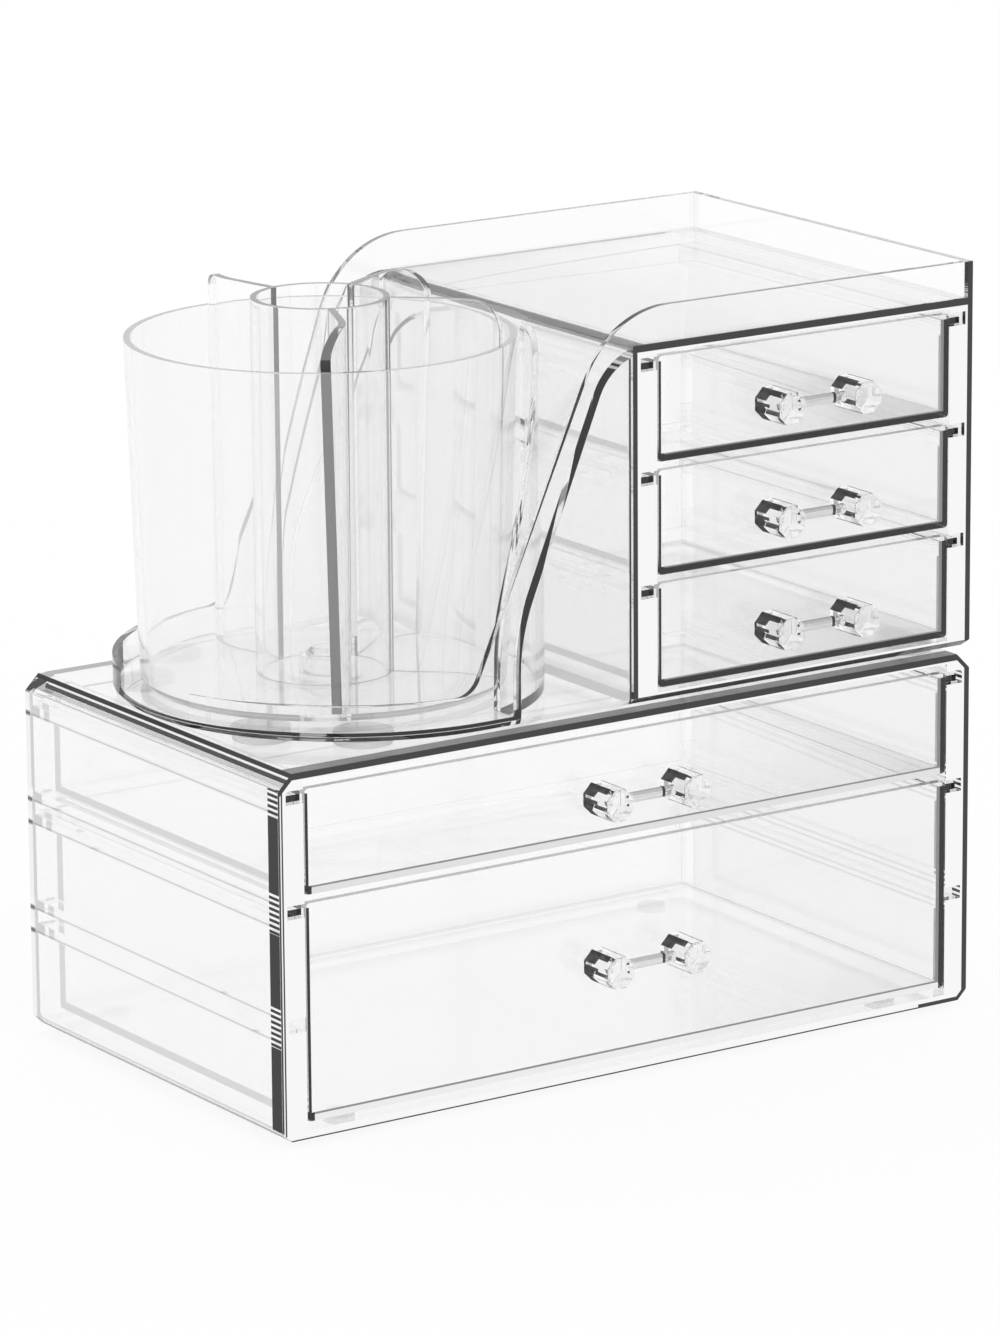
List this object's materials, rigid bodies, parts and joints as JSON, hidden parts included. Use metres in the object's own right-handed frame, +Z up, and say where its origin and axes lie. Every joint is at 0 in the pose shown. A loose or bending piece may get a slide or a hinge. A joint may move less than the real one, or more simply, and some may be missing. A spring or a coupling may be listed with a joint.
{
  "type": "brush holder with drawers",
  "caption": "Clear stacking vanity organiser: wide drawer case below, drawer cabinet with fenced roof tray and a turning divided brush cup above.",
  "frame": {"origin": "on the surface it stands on, under the middle of the whole object, handles included", "axes": "+Z up, +X to the right seen from the front, +Y to the back; the drawers face -Y"},
  "size_m": [0.2412, 0.1516, 0.2263],
  "materials": {
    "clear_case": "polished clear acrylic moulding",
    "clear_drawer": "polished clear acrylic drawer",
    "clear_cup": "polished clear acrylic cup",
    "clear_handle": "polished clear cut handle",
    "clear_rubber": "soft translucent pad"
  },
  "bodies": {
    "lower_unit": {"lower_case": "clear_case", "lower_feet": "clear_rubber"},
    "upper_unit": {"upper_case": "clear_case", "upper_stacking_pads": "clear_rubber", "cup_pivot_pin": "clear_cup"},
    "lower_shallow_drawer": {"lower_shallow_drawer": "clear_drawer", "lower_shallow_handle": "clear_handle"},
    "lower_deep_drawer": {"lower_deep_drawer": "clear_drawer", "lower_deep_handle": "clear_handle"},
    "upper_top_drawer": {"upper_drawer_top": "clear_drawer", "upper_handle_top": "clear_handle"},
    "upper_middle_drawer": {"upper_drawer_middle": "clear_drawer", "upper_handle_middle": "clear_handle"},
    "upper_bottom_drawer": {"upper_drawer_bottom": "clear_drawer", "upper_handle_bottom": "clear_handle"},
    "turning_cup": {"brush_cup": "clear_cup", "brush_divider": "clear_cup"}
  },
  "joints": [
    {"name": "upper_unit_lift", "type": "slide", "parent": "lower_unit", "child": "upper_unit", "axis": [0, 0, 1], "range_m": [0, 0.03]},
    {"name": "lower_shallow_drawer_slide", "type": "slide", "parent": "lower_unit", "child": "lower_shallow_drawer", "axis": [0, -1, 0], "range_m": [0, 0.11]},
    {"name": "lower_deep_drawer_slide", "type": "slide", "parent": "lower_unit", "child": "lower_deep_drawer", "axis": [0, -1, 0], "range_m": [0, 0.11]},
    {"name": "upper_top_drawer_slide", "type": "slide", "parent": "upper_unit", "child": "upper_top_drawer", "axis": [0, -1, 0], "range_m": [0, 0.11]},
    {"name": "upper_middle_drawer_slide", "type": "slide", "parent": "upper_unit", "child": "upper_middle_drawer", "axis": [0, -1, 0], "range_m": [0, 0.11]},
    {"name": "upper_bottom_drawer_slide", "type": "slide", "parent": "upper_unit", "child": "upper_bottom_drawer", "axis": [0, -1, 0], "range_m": [0, 0.11]},
    {"name": "cup_spin", "type": "hinge", "parent": "upper_unit", "child": "turning_cup", "pos_m": [-0.0606, 0.0063, 0.1163], "axis": [0, 0, 1], "continuous": true}
  ]
}
